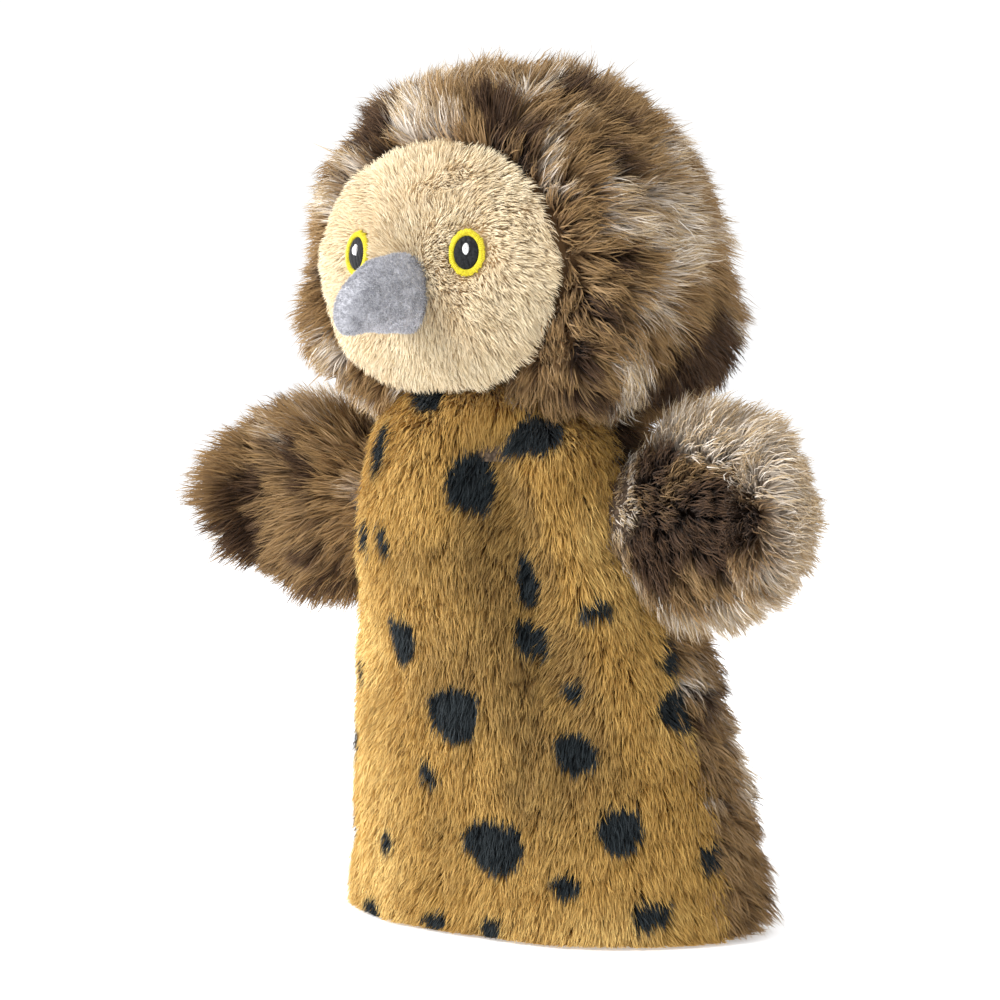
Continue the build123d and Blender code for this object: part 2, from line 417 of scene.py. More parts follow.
def bake_cells(mesh, strands, heights, corners):
    """UVs with one small upright cell for each strand, so that its colour can be baked from root to tip."""
    across = int(math.ceil(math.sqrt(strands * 2.5)))
    down = int(math.ceil(strands / across))
    column, row = np.arange(strands) % across, np.arange(strands) // across
    sideways = np.arange(len(heights)) % 2.0
    sideways[-1] = 0.5
    u = (column[:, None] + 0.1 + 0.8 * sideways[corners]) / across
    v = (row[:, None] + 0.08 + 0.84 * heights[corners]) / down
    layer = mesh.uv_layers.new(name="OFBake")
    layer.data.foreach_set("uv", np.stack([u, v], axis=-1).astype(np.float32).ravel())


# ---------------------------------------------------------------- materials


class Nodes:
    """A short way to write a material's nodes."""

    def __init__(self, name):
        self.material = bpy.data.materials.new(name)
        self.material.use_nodes = True
        self.tree = self.material.node_tree
        self.tree.nodes.clear()
        self.shader = self.add("ShaderNodeBsdfPrincipled")
        output = self.add("ShaderNodeOutputMaterial")
        self.tree.links.new(self.shader.outputs[0], output.inputs[0])

    def add(self, kind, **values):
        node = self.tree.nodes.new(kind)
        for key, value in values.items():
            setattr(node, key, value)
        return node

    def link(self, source, target):
        self.tree.links.new(source, target)

    def attribute(self, name, vector=False):
        node = self.add("ShaderNodeAttribute", attribute_name=name)
        return node.outputs["Vector" if vector else "Fac"]

    def noise(self, where, size, detail=2.0, roughness=0.5, warp=0.0):
        node = self.add("ShaderNodeTexNoise")
        node.inputs["Scale"].default_value = 1.0 / size
        node.inputs["Detail"].default_value = detail
        node.inputs["Roughness"].default_value = roughness
        node.inputs["Distortion"].default_value = warp
        self.link(where, node.inputs["Vector"])
        return node.outputs["Fac"]

    def shifted(self, where, offset):
        node = self.add("ShaderNodeVectorMath", operation="ADD")
        self.link(where, node.inputs[0])
        node.inputs[1].default_value = offset
        return node.outputs[0]

    def ramp(self, value, low, high, to_low=0.0, to_high=1.0):
        node = self.add("ShaderNodeMapRange", interpolation_type="SMOOTHSTEP")
        self.link(value, node.inputs["Value"])
        for key, number in zip(("From Min", "From Max", "To Min", "To Max"), (low, high, to_low, to_high)):
            node.inputs[key].default_value = number
        return node.outputs[0]

    def sum(self, a, b, share=1.0):
        """a plus share times b."""
        node = self.add("ShaderNodeMath", operation="MULTIPLY_ADD")
        self.link(b, node.inputs[0])
        node.inputs[1].default_value = share
        self.link(a, node.inputs[2])
        return node.outputs[0]

    def mix(self, factor, a, b, blend="MIX"):
        node = self.add("ShaderNodeMix", data_type="RGBA", blend_type=blend)
        if isinstance(factor, (int, float)):
            node.inputs[0].default_value = factor
        else:
            self.link(factor, node.inputs[0])
        for socket, value in zip((node.inputs[6], node.inputs[7]), (a, b)):
            if isinstance(value, tuple):
                socket.default_value = (*value, 1.0)
            else:
                self.link(value, socket)
        return node.outputs[2]

    def finish(self, colour, roughness, sheen, specular):
        self.link(colour, self.shader.inputs["Base Color"])
        self.shader.inputs["Roughness"].default_value = roughness
        self.shader.inputs["Sheen Weight"].default_value = sheen
        self.shader.inputs["Sheen Roughness"].default_value = 0.5
        self.shader.inputs["Specular IOR Level"].default_value = specular
        return self.material

    def bump(self, height, strength, distance):
        node = self.add("ShaderNodeBump")
        node.inputs["Strength"].default_value = strength
        node.inputs["Distance"].default_value = distance
        self.link(height, node.inputs["Height"])
        self.link(node.outputs[0], self.shader.inputs["Normal"])


def place_of(nodes, strand):
    """Where on the cloth the colour is looked up: a strand's root, or the skin's own place."""
    if strand:
        return nodes.attribute("root_at", vector=True)
    return nodes.add("ShaderNodeTexCoord").outputs["Object"]


def strand_shading(nodes, colour, root, root_shade_share, reach, uneven, variety):
    """Multiplies a strand's colour by root near its root, as painted shade down in the pile, and by uneven
    from strand to strand.
    """
    # Painted shade: darker towards the root, down in the pile.
    low = nodes.ramp(nodes.attribute("along"), 0.0, reach, root_shade_share, 0.0)
    colour = nodes.mix(low, colour, root, "MULTIPLY")
    chance = nodes.ramp(nodes.attribute("shade"), 0.0, 1.0, 0.0, variety)
    return nodes.mix(chance, colour, uneven, "MULTIPLY")


def brown_plush(name, strand, dark, pale, offset):
    """Long mottled pile: whitish and dark brown patches, with tan tips. dark and pale are each one's share.

    The cloth's tone number, from -1 to 1, adds to the mottling: darker below 0 and paler above. offset moves
    the mottling, so that it differs from panel to panel.
    """
    tan_low, tan_high, tan_tip = (0.235, 0.138, 0.060), (0.430, 0.282, 0.140), (0.350, 0.218, 0.090)
    white_root, white_tip = (0.880, 0.810, 0.720), (0.640, 0.495, 0.300)
    dark_root, dark_tip = (0.052, 0.027, 0.014), (0.115, 0.063, 0.031)
    nodes = Nodes(name)
    where = nodes.shifted(place_of(nodes, strand), offset)
    tone = nodes.attribute("tone")
    dark_patch = nodes.noise(where, 0.022, 2.0, 0.55, 0.6)
    pale_patch = nodes.noise(nodes.shifted(where, (0.31, 0.17, 0.53)), 0.020, 2.0, 0.5, 0.5)
    fine = nodes.noise(nodes.shifted(where, (0.7, 0.2, 0.1)), 0.007, 2.0, 0.6)
    dark_edge = 0.68 - 0.16 * dark
    pale_edge = 0.68 - 0.16 * pale
    dark_mask = nodes.ramp(nodes.sum(dark_patch, tone, -0.30), dark_edge - 0.05, dark_edge + 0.05)
    pale_mask = nodes.ramp(nodes.sum(pale_patch, tone, 0.30), pale_edge - 0.07, pale_edge + 0.07)
    root = nodes.mix(nodes.ramp(fine, 0.3, 0.7), tan_low, tan_high)
    root = nodes.mix(pale_mask, root, white_root)
    root = nodes.mix(dark_mask, root, dark_root)
    if strand:
        tip = nodes.mix(pale_mask, tan_tip, white_tip)
        tip = nodes.mix(dark_mask, tip, dark_tip)
        uneven = nodes.ramp(nodes.attribute("shade"), 0.0, 1.0, -0.22, 0.22)
        to_tip = nodes.sum(nodes.attribute("along"), uneven)
        colour = nodes.mix(nodes.ramp(to_tip, 0.50, 0.90), root, tip)
        # Darker towards the root as painted shade in the pile, and uneven from strand to strand.
        colour = strand_shading(nodes, colour, (0.50, 0.40, 0.32), 0.50, 0.40, (0.64, 0.57, 0.50), 0.45)
    else:
        # The backing between the strands is darkened as painted shade under the pile.
        colour = nodes.mix(1.0, root, (0.42, 0.36, 0.30), "MULTIPLY")
    return nodes.finish(colour, roughness=0.62, sheen=0.08, specular=0.16)


def ochre_plush(name, strand):
    """Golden ochre pile with blue-black spots. The cloth's points hold its spots and its tone, which is
    painted light and shade.
    """
    deep_and_shaded, middle, pale = (0.175, 0.080, 0.012), (0.480, 0.270, 0.055), (0.850, 0.610, 0.220)
    fleck, tip = (0.660, 0.420, 0.120), (0.830, 0.610, 0.240)
    ink_root, ink_tip, ink_backing = (0.006, 0.008, 0.010), (0.020, 0.028, 0.032), (0.010, 0.013, 0.015)
    nodes = Nodes(name)
    where = place_of(nodes, strand)
    broad = nodes.noise(where, 0.034, 2.0, 0.5)
    fine = nodes.noise(where, 0.007, 2.0, 0.6)
    # The tone number paints light and shade, and a broad random variation adds to it. The gold falls to the
    # darkest ochre as painted shade and rises to the palest ochre as painted light.
    uneven = nodes.sum(nodes.attribute("tone"), nodes.ramp(broad, 0.30, 0.70, -0.4, 0.4))
    gold = nodes.mix(nodes.ramp(uneven, -1.1, 0.1), deep_and_shaded, middle)
    gold = nodes.mix(nodes.ramp(uneven, 0.1, 1.1), gold, pale)
    gold = nodes.mix(nodes.ramp(fine, 0.35, 0.70, 0.0, 0.35), gold, fleck)
    spot = nodes.attribute("spot")
    if strand:
        along = nodes.attribute("along")
        gold = nodes.mix(nodes.ramp(along, 0.30, 1.0, 0.0, 0.26), gold, tip)
        # Darker towards the root as painted shade in the pile, and uneven from strand to strand.
        gold = strand_shading(nodes, gold, (0.50, 0.35, 0.18), 0.65, 0.50, (0.70, 0.58, 0.44), 0.35)
        ragged = nodes.ramp(nodes.attribute("shade"), 0.0, 1.0, -0.18, 0.18)
        ink = nodes.mix(along, ink_root, ink_tip)
        colour = nodes.mix(nodes.ramp(nodes.sum(spot, ragged), 0.40, 0.60), gold, ink)
    else:
        # The backing between the strands is darkened as painted shade under the pile.
        gold = nodes.mix(1.0, gold, (0.42, 0.30, 0.20), "MULTIPLY")
        colour = nodes.mix(nodes.ramp(spot, 0.4, 0.6), gold, ink_backing)
    return nodes.finish(colour, roughness=0.58, sheen=0.10, specular=0.16)


def cream_plush(name, strand):
    """Short cream pile with a faint tan variation."""
    tan, cream, fleck = (0.800, 0.645, 0.410), (0.860, 0.735, 0.510), (0.890, 0.785, 0.590)
    nodes = Nodes(name)
    where = place_of(nodes, strand)
    broad = nodes.noise(where, 0.022, 2.0, 0.5)
    fine = nodes.noise(where, 0.0045, 2.0, 0.6)
    colour = nodes.mix(nodes.ramp(broad, 0.35, 0.65), tan, cream)
    colour = nodes.mix(nodes.ramp(fine, 0.35, 0.70, 0.0, 0.5), colour, fleck)
    if strand:
        # Darker towards the root as painted shade in the pile, and uneven from strand to strand.
        colour = strand_shading(nodes, colour, (0.86, 0.70, 0.54), 0.40, 0.6, (0.80, 0.72, 0.62), 0.30)
    else:
        # The backing between the strands is darkened as painted shade under the pile.
        colour = nodes.mix(1.0, colour, (0.86, 0.74, 0.60), "MULTIPLY")
    return nodes.finish(colour, roughness=0.65, sheen=0.20, specular=0.16)


def grey_velour(name, strand, light):
    """Short grey nap in soft light and dark patches, partly the nap's own brushing and partly painted sheen.
    light multiplies the patches' tones.
    """
    nodes = Nodes(name)
    where = place_of(nodes, strand)
    brushing_and_sheen = nodes.noise(where, 0.0040, 3.0, 0.6, 0.8)
    fine = nodes.noise(where, 0.0009, 2.0, 0.6)
    low = tuple(light * v for v in (0.300, 0.300, 0.335))
    high = tuple(light * v for v in (0.640, 0.640, 0.680))
    # The patches are partly the nap's own brushing and partly painted sheen.
    grey = nodes.mix(nodes.ramp(brushing_and_sheen, 0.32, 0.68), low, high)
    grey = nodes.mix(nodes.ramp(fine, 0.3, 0.7, 0.0, 0.35), grey, (0.60, 0.60, 0.64))
    if strand:
        grey = nodes.mix(nodes.attribute("along"), grey, (0.68, 0.68, 0.71))
    else:
        nodes.bump(fine, 0.5, 0.0006)
    return nodes.finish(grey, roughness=0.75, sheen=0.6, specular=0.15)


def knitted_lining(name, colour):
    """Warp-knitted lining cloth: fine ribs crossed by rows of loops."""
    nodes = Nodes(name)
    where = place_of(nodes, False)
    turned = nodes.add("ShaderNodeMapping")
    turned.inputs["Scale"].default_value = (900.0, 900.0, 700.0)
    nodes.link(where, turned.inputs["Vector"])
    loops = nodes.add("ShaderNodeTexVoronoi")
    loops.inputs["Scale"].default_value = 1.0
    nodes.link(turned.outputs[0], loops.inputs["Vector"])
    height = loops.outputs["Distance"]
    worn = nodes.noise(where, 0.020, 3.0, 0.6)
    low = tuple(0.55 * v for v in colour)
    high = tuple(1.7 * v for v in colour)
    tone = nodes.mix(nodes.ramp(worn, 0.3, 0.7), low, colour)
    tone = nodes.mix(nodes.ramp(height, 0.1, 0.7), high, tone)
    nodes.bump(height, 0.6, 0.0004)
    return nodes.finish(tone, roughness=0.85, sheen=0.2, specular=0.1)


def stitched_thread(name, colour, bright, roughness, specular):
    """Rayon embroidery thread, with a shift of tone from stitch to stitch."""
    nodes = Nodes(name)
    where = place_of(nodes, False)
    tone = nodes.noise(where, 0.0007, 2.0, 0.6)
    mixed = nodes.mix(nodes.ramp(tone, 0.3, 0.7), colour, bright)
    return nodes.finish(mixed, roughness=roughness, sheen=0.1, specular=specular)


def ribbon_label(name):
    nodes = Nodes(name)
    where = place_of(nodes, False)
    ribs = nodes.add("ShaderNodeTexWave", bands_direction="Z")
    ribs.inputs["Scale"].default_value = 900.0
    nodes.link(where, ribs.inputs["Vector"])
    tone = nodes.mix(nodes.ramp(ribs.outputs["Fac"], 0.2, 0.8), (0.68, 0.67, 0.64), (0.84, 0.83, 0.80))
    nodes.bump(ribs.outputs["Fac"], 0.4, 0.0002)
    return nodes.finish(tone, roughness=0.45, sheen=0.1, specular=0.3)


def fibre_fill(name):
    nodes = Nodes(name)
    where = place_of(nodes, False)
    wisps = nodes.noise(where, 0.003, 5.0, 0.75, 2.0)
    tone = nodes.mix(nodes.ramp(wisps, 0.3, 0.7), (0.62, 0.62, 0.60), (0.90, 0.90, 0.88))
    nodes.bump(wisps, 0.8, 0.001)
    return nodes.finish(tone, roughness=0.9, sheen=0.4, specular=0.1)


# ---------------------------------------------------------------- torso


def torso_section(height):
    """The body's middle in Y, its half width and its half depth at a height, with the pile."""
    return [np.interp(height / MM, TORSO_MM[:, 0], TORSO_MM[:, k]) * MM for k in (1, 2, 3)]


def torso_point(angle, height, inset):
    """A point of the body's surface at a height: angle is 0 at the puppet's left and -90 degrees in front."""
    centre, half_x, half_y = torso_section(height)
    half_x, half_y = half_x - inset, half_y - inset
    rise = np.maximum(height - NECK[2], 0)
    round_in = np.sqrt(np.maximum((NECK_R - inset) ** 2 - rise**2, 1e-8)) / (NECK_R - inset)
    return np.stack([
        np.cos(angle) * half_x * round_in,
        centre + np.sin(angle) * half_y * round_in,
        height + 0 * angle,
    ], axis=-1)


def chest_fold(points):
    """The slanting fold where a hand bends the body: how far each point is on its ridge and in its hollow."""
    x, z = points[..., 0], points[..., 2]
    line = 0.026 + 0.017 * (0.159 - z) / 0.076  # further to the puppet's left lower down
    across = x - line
    span = smooth_step(0.055, 0.090, z) * (1 - smooth_step(0.158, 0.174, z))
    hollow = smooth_step(-0.034, -0.006, across) * (1 - smooth_step(-0.003, 0.006, across))
    ridge = np.exp(-(((across - 0.014) / 0.010) ** 2))
    return ridge * span, hollow * span


def chest_relief(points):
    """How far the front stands out: the fold, and on the right a full breast over a waist."""
    ridge, hollow = chest_fold(points)
    side = smooth_step(0.010, 0.045, -points[..., 0])
    breast = np.exp(-(((points[..., 2] - 0.130) / 0.018) ** 2)) * side
    waist = np.exp(-(((points[..., 2] - 0.086) / 0.019) ** 2)) * side
    return 0.0060 * ridge - 0.0100 * hollow + 0.0045 * breast - 0.0100 * waist


def chest_painted_light_and_shade(points):
    """Paler ochre as painted light down the right side and along the fold's ridge; darker ochre as painted
    shade in the middle, in the fold's hollow and under the head.
    """
    ridge, hollow = chest_fold(points)
    x, z = points[:, 0], points[:, 2]
    side = smooth_step(0.012, 0.040, -x)
    middle = np.exp(-(((x - 0.024) / 0.032) ** 2))
    middle *= smooth_step(0.010, 0.035, z) * (1 - smooth_step(0.13, 0.16, z))
    under_head = np.exp(-(((x - 0.042) / 0.016) ** 2) - ((z - 0.158) / 0.014) ** 2)
    low = 0.4 * (1 - smooth_step(0.0, 0.022, z))
    return np.clip(0.9 * side + ridge + low - 1.1 * hollow - 0.6 * middle - 0.9 * under_head, -1, 1)


def away_from_axis(points):
    """Level directions out from the body's middle line."""
    return unit((points - BODY_AXIS) * LEVEL)


def torso_grid(start, end, inset, top, seed, wave=1.0, bottom=0.0, rows=110, columns=150):
    """The body's skin from angle start to end: wave is how much of the swell, hem and relief it takes."""
    angles = np.linspace(start, end, columns)
    heights, angles = np.meshgrid(np.linspace(bottom, top, rows), angles, indexing="ij")
    flat = torso_point(angles, heights, inset).reshape(-1, 3)
    outward = away_from_axis(flat)
    back = smooth_step(-0.2, 0.8, outward[:, 1])
    front = smooth_step(0.2, 0.8, -outward[:, 1])
    low = 1 - smooth_step(0.0, 0.13, flat[:, 2])
    swell = ripple(flat * np.array([1.0, 1.0, 0.55]), 0.060, seed) * (0.0016 + 0.0022 * back)
    hem = np.sin(angles.ravel() * 5.0 + 0.7) * low**2 * (0.0012 + 0.0018 * back)
    flat = flat + outward * ((swell + hem + chest_relief(flat) * front) * wave)[:, None]
    return flat.reshape(rows, columns, 3)


# The print of spots on the chest: how far to the puppet's left, height and radius, then how much taller than
# wide each one is
SPOTS_MM = [
    (13, 152, 8.0, 1.15), (1, 77, 9.2, 0.92), (12, 35, 10.2, 0.88), (29, 165, 6.3, 0.8), (-21, 100, 6.3, 1.3),
    (29, 120, 4.8, 1.6), (24, 101, 4.2, 1.3), (39, 65, 6.0, 1.0), (62, 79, 7.4, 0.95), (49, 41, 6.4, 1.1),
    (-5, 175, 4.2, 1.0), (-22, 161, 3.8, 1.8), (-31, 132, 2.6, 1.6), (-21, 132, 2.6, 1.6),
    (43, 112, 3.2, 1.0), (34, 102, 2.8, 1.8), (41, 85, 2.8, 1.4), (-11, 57, 2.6, 1.4),
    (-32, 31, 3.2, 1.3), (67, 30, 3.6, 1.1), (35, 23, 4.1, 1.0), (-12, 7, 4.4, 0.8),
    (10, 7, 3.8, 1.2), (56, 13, 4.6, 1.0), (-43, 5, 4.5, 1.0), (45, 140, 4.2, 1.3),
    (63, 96, 3.2, 1.8), (-56, 62, 5.0, 1.2), (-62, 30, 6.0, 1.0), (-50, 84, 3.5, 1.0),
    (-52, 112, 4.0, 1.3), (-66, 48, 3.0, 1.0),
]


def chest_front(x, z):
    """The point of the chest's skin at x and z, and the direction out of it."""
    low = min(z, NECK[2])
    centre, half_x, half_y = torso_section(low)
    round_in = math.sqrt(1 - ((z - low) / NECK_R) ** 2)
    half_x, half_y = (half_x - BODY_SKIN) * round_in, (half_y - BODY_SKIN) * round_in
    ahead = half_y * math.sqrt(1 - min(abs(x) / half_x, 0.98) ** 2)
    return np.array([x, centre - ahead, z]), unit(np.array([x / half_x**2, -ahead / half_y**2, 0.0]))


def spot_marks(points):
    """From 0 off the spots to 1 in them, with a soft uneven edge."""
    uneven = ripple(points, 0.007, 5) * 0.9 * MM + ripple(points, 0.015, 8) * 0.8 * MM - 0.5 * MM
    soft = 2.2 * MM
    marks = np.zeros(len(points))
    for x, z, radius, tall in SPOTS_MM:
        middle, outward = chest_front(x * MM, z * MM)
        away = points - middle
        away = away - (away @ outward)[:, None] * outward
        gap = np.hypot(np.hypot(away[:, 0], away[:, 1]), away[:, 2] / tall) + uneven
        marks = np.maximum(marks, 1 - smooth_step(radius * MM - soft, radius * MM + soft, gap))
    return marks * (points[:, 1] < 0.0)


# Patches in the brown plush: a place in mm, a radius, and a tone from -1 for dark brown to 1 for whitish
PATCHES_MM = [
    (14, -56, 264, 7, -1.0), (28, -34, 272, 6, -0.9), (34, -14, 272, 6, -0.9), (50, -42, 252, 9, -1.0),
    (66, -27, 228, 4, -0.9), (55, -8, 195, 13, -1.0), (53, -16, 182, 10, -1.0), (55, -50, 219, 7, -0.8),
    (54, -52, 203, 6, -0.8), (48, -58, 187, 6, -0.8), (66, -24, 222, 8, 1.0), (-9, -62, 260, 6, 0.9),
    (38, -55, 250, 9, 0.4), (48, -42, 192, 5, 0.9), (-2, -34, 278, 9, 0.5), (45, -45, 228, 9, 0.5),
    (60, -40, 207, 8, 0.5), (-30, -50, 262, 9, -0.3), (-60, -40, 230, 10, -0.3), (62, 5, 240, 12, 0.2),
    (77, -35, 168, 12, 1.0), (100, -30, 158, 12, 1.0), (112, -30, 140, 12, 1.0), (106, -30, 118, 10, 0.3),
    (50, -42, 140, 9, 1.0), (70, -42, 110, 9, -0.3), (81, -45, 139, 12, -1.0), (96, -46, 141, 11, -1.0),
    (68, -42, 158, 8, -0.5), (-70, -45, 146, 12, -0.8), (-95, -45, 128, 12, -0.7), (-80, -45, 115, 9, 0.3),
    (-108, -40, 140, 9, 0.2), (60, 20, 90, 10, -0.8), (62, 22, 60, 8, 0.7), (68, 20, 30, 10, -0.6),
    (56, 14, 118, 9, 0.4),
]


def tone_marks(points):
    """The tone of the brown plush at points, from the patches that hold them."""
    tone = np.zeros(len(points))
    for x, y, z, radius, value in PATCHES_MM:
        away = ((points - np.array([x, y, z]) * MM) ** 2).sum(axis=1)
        tone += value * np.exp(-away / (1.1 * radius * MM) ** 2)
    return np.clip(tone, -1, 1)


# The chest's spots are its print; its tone is painted light and shade.
CHEST_MARKS = {"spot": spot_marks, "tone": chest_painted_light_and_shade}
BROWN_MARKS = {"tone": tone_marks}


def dome_flow(points):
    """Down the body, fanning outwards a little towards the hem."""
    return -UP + 0.15 * unit(points * LEVEL + 1e-9)


def short_at_hem(length, points):
    """The pile is trimmed where it would reach below the hem."""
    return np.minimum(length, 0.0045 + points[:, 2])


def wing_root_clear(points):
    """True outside the holes that the wings' roots fill."""
    clear = np.ones(len(points), dtype=bool)
    for side, _ in SIDES:
        away = (points - SHOULDER * np.array([side, 1, 1])) * np.array([0.4, 1.0, 1.0])
        clear &= np.linalg.norm(away, axis=1) > WING_ROOT_HOLE
    return clear


def make_torso(plush):
    grid = torso_grid(*FRONT_SPAN, BODY_SKIN, PLUSH_TOP, 11)
    front = cloth_panel("front_panel_skin", grid, plush["ochre_skin"], BODY_BACKING, BODY_MIDDLE)
    paint(front, CHEST_MARKS)
    place, normal = scatter(front, FRONT_FUR.per_mm2, 21, wing_root_clear)
    ridge, hollow = chest_fold(place)
    aside = (0.5 * ridge - 0.5 * hollow)[:, None] * np.array([1.0, 0.0, 0.0])
    flow = dome_flow(place) + 0.40 * ripple_vector(place, 0.045, 31) + aside
    length = short_at_hem(0.0082 + 0.0012 * ripple(place, 0.020, 41), place)
    fur = grow(numbered("front_panel_pile", 5), FRONT_FUR, plush["ochre"], 51, place, normal, flow, length,
               0.84, CHEST_MARKS)
    tie_panel(front, fur, "torso", "front_panel")

    grid = torso_grid(*BACK_SPAN, BACK_SKIN, PLUSH_TOP, 12)
    back = cloth_panel("back_panel_skin", grid, plush["brown_skin"], BODY_BACKING, BODY_MIDDLE)
    paint(back, BROWN_MARKS)
    place, normal = scatter(back, BACK_FUR.per_mm2, 22, wing_root_clear)
    flow = dome_flow(place) + 0.75 * ripple_vector(place, 0.030, 32)
    length = short_at_hem(0.0130 + 0.0030 * ripple(place, 0.020, 42), place)
    fur = grow(numbered("back_panel_pile", 3), BACK_FUR, plush["brown"], 61, place, normal, flow, length,
               0.66, BROWN_MARKS)
    tie_panel(back, fur, "torso", "back_panel")


# ---------------------------------------------------------------- head


def head_direction(angle, tilt):
    return np.stack([np.cos(angle) * np.cos(tilt), np.sin(angle) * np.cos(tilt), np.sin(tilt)], axis=-1)


def head_skin_point(direction, inset):
    """The head's skin in a direction from its centre: an ellipsoid, squarer low down except in front."""
    low = smooth_step(0.0, 0.5, -direction[..., 2:3])
    behind = smooth_step(-0.75, -0.25, direction[..., 1:2])
    high = smooth_step(0.3, 1.0, direction[..., 2:3])
    power = 2 + 2.2 * low * behind
    half = HEAD_HALF - inset + 0.004 * UP * (low * behind + high)
    radius = (np.abs(direction / half) ** power).sum(axis=-1, keepdims=True) ** (-1 / power)
    return HEAD + direction * radius


def face_skin_point(spread, turn, inset):
    """The face's skin: spread is 0 at its middle and 1 at its seam, and turn goes round it."""
    half = FACE_HALF - inset
    widest = math.acos((FACE[1] - FACE_EDGE_Y) / half[1])
    bend = spread * widest
    return FACE + half * np.stack([
        np.sin(bend) * np.cos(turn), -np.cos(bend), np.sin(bend) * np.sin(turn)
    ], axis=-1)


def head_panel(name, start, end, material):
    """A quarter of the head from the crown down to the neck, between two angles about the upright."""
    rows, columns = 70, 60
    crown, neck = math.radians(89.0), math.radians(-50.0)
    tilts = np.linspace(crown, neck, rows)
    tilts, angles = np.meshgrid(tilts, np.linspace(start, end, columns), indexing="ij")
    points = head_skin_point(head_direction(angles, tilts), HEAD_SKIN)
    flat = points.reshape(-1, 3)
    outward = unit(flat - HEAD)
    seam = np.exp(-(((in_face(flat) - 1.0) / 0.28) ** 2))
    flat = flat + outward * (ripple(flat, 0.045, 15) * 0.0016 + 0.0050 * seam)[:, None]
    return cloth_panel(name, flat.reshape(points.shape), material, BODY_BACKING, HEAD)


def in_face(points):
    """How far out across the face disc each point is: under 1 inside its seam, and 9 away from the front."""
    across = points[:, 0] / (FACE_DISC[0] - 0.0015)
    upright = (points[:, 2] - FACE[2]) / (FACE_DISC[2] - 0.0010)
    ahead = points[:, 1] < FACE_EDGE_Y + 0.030
    return np.where(ahead, np.hypot(across, upright), 9.0)


def outside_face(points):
    return in_face(points) > 0.95


def head_flow(points):
    """Swept back from the face over the crown and down to the nape, and round the face disc."""
    parting = np.array([0.0, -0.060, 0.225])
    back = unit((points - parting) * np.array([1.0, 1.1, 0.9]))
    down = smooth_step(0.245, 0.190, points[:, 2])[:, None]
    behind = smooth_step(-0.02, 0.03, points[:, 1])[:, None]
    return back - (0.5 * down + 0.9 * behind) * UP


def make_head(plush):
    seam = math.radians(6)  # how far behind the sides the seams between crown and nape run
    quarters = (
        ("crown_left", -math.pi / 2, seam),
        ("nape_left", seam, math.pi / 2),
        ("nape_right", math.pi / 2, math.pi - seam),
        ("crown_right", math.pi - seam, 1.5 * math.pi),
    )
    for k, (name, start, end) in enumerate(quarters):
        skin = head_panel(f"{name}_skin", start, end, plush["head_skin"])
        paint(skin, BROWN_MARKS)
        place, normal = scatter(skin, HEAD_FUR.per_mm2, 71 + k, outside_face)
        flow = head_flow(place) + 0.75 * ripple_vector(place, 0.028, 81)
        rim = np.clip(1.35 - in_face(place), 0, 0.35) / 0.35
        low = 1 - smooth_step(0.178, 0.205, place[:, 2])
        length = (0.0145 + 0.0025 * ripple(place, 0.022, 91)) * (1 - 0.25 * rim) * (1 - 0.30 * low)
        fur = grow(numbered(f"{name}_pile", 2), HEAD_FUR, plush["head"], 101 + 10 * k, place, normal, flow,
                   length, 0.64 - 0.10 * rim, BROWN_MARKS)
        tie_panel(skin, fur, "head", name, padded=True)


def open_face(points):
    """True on the face away from the eyes and the beak."""
    return (eye_distance(points) > 1.0) & (beak_distance(points) > 0.92)


def make_face(plush):
    rows, columns = 60, 90
    turns = np.linspace(-math.pi / 2, 1.5 * math.pi, columns)
    spread, turn = np.meshgrid(np.linspace(0.0, 1.0, rows), turns, indexing="ij")
    flat = face_skin_point(spread, turn, FACE_SKIN).reshape(-1, 3)
    flat = flat + unit(flat - FACE) * (ripple(flat, 0.030, 17) * 0.0008 + cheek(flat) * 0.0020)[:, None]
    grid = flat.reshape(rows, columns, 3)
    skin = cloth_panel("face_panel_skin", grid, plush["cream_skin"], BODY_BACKING, FACE)
    place, normal = scatter(skin, FACE_FUR.per_mm2, 75, open_face)
    flow = unit(place - BEAK_ROOT) - 0.60 * UP + 0.55 * ripple_vector(place, 0.020, 85)
    near_eye = np.clip(1.7 - eye_distance(place), 0, 0.7) / 0.7
    length = (0.0048 + 0.0007 * ripple(place, 0.012, 95)) * (1 - 0.65 * near_eye)
    fur = grow(numbered("face_panel_pile", 2), FACE_FUR, plush["cream"], 141, place, normal, flow, length,
               0.88)
    tie_panel(skin, fur, "head", "face_panel", padded=True)


def cheek(points):
    """Fuller cheeks to each side below the eyes."""
    side = np.abs(points[:, 0])
    return np.exp(-(((side - 0.022) / 0.014) ** 2) - ((points[:, 2] - 0.193) / 0.014) ** 2)


def eye_axes(side):
    """The directions across an eye and out of it, and its middle on the skin of the face."""
    right = np.array([math.cos(EYE_TURN), side * math.sin(EYE_TURN), 0.0])
    facing = np.array([side * math.sin(EYE_TURN), -math.cos(EYE_TURN), 0.0])
    return right, facing, onto_face(EYE * np.array([side, 1, 1]), facing)


def onto_face(points, facing):
    """Points moved along facing until they lie on the backing cloth of the face."""
    half = FACE_HALF - EYE_INSET
    rel = points - FACE
    a = ((facing / half) ** 2).sum()
    b = 2 * ((rel * facing) / half**2).sum(axis=-1)
    c = ((rel / half) ** 2).sum(axis=-1) - 1
    travel = (-b + np.sqrt(np.maximum(b * b - 4 * a * c, 0))) / (2 * a)
    return points + np.asarray(travel)[..., None] * facing


def eye_distance(points):
    """Distance from the nearer eye's middle, as a share of its own half size."""
    gaps = []
    for side, _ in SIDES:
        right, facing, middle = eye_axes(side)
        away = points - middle
        ahead = np.abs(away @ facing) < 0.012
        gaps.append(np.where(ahead, np.hypot(away @ right / EYE_RING[0], away[:, 2] / EYE_RING[1]), 9.0))
    return np.minimum(*gaps)


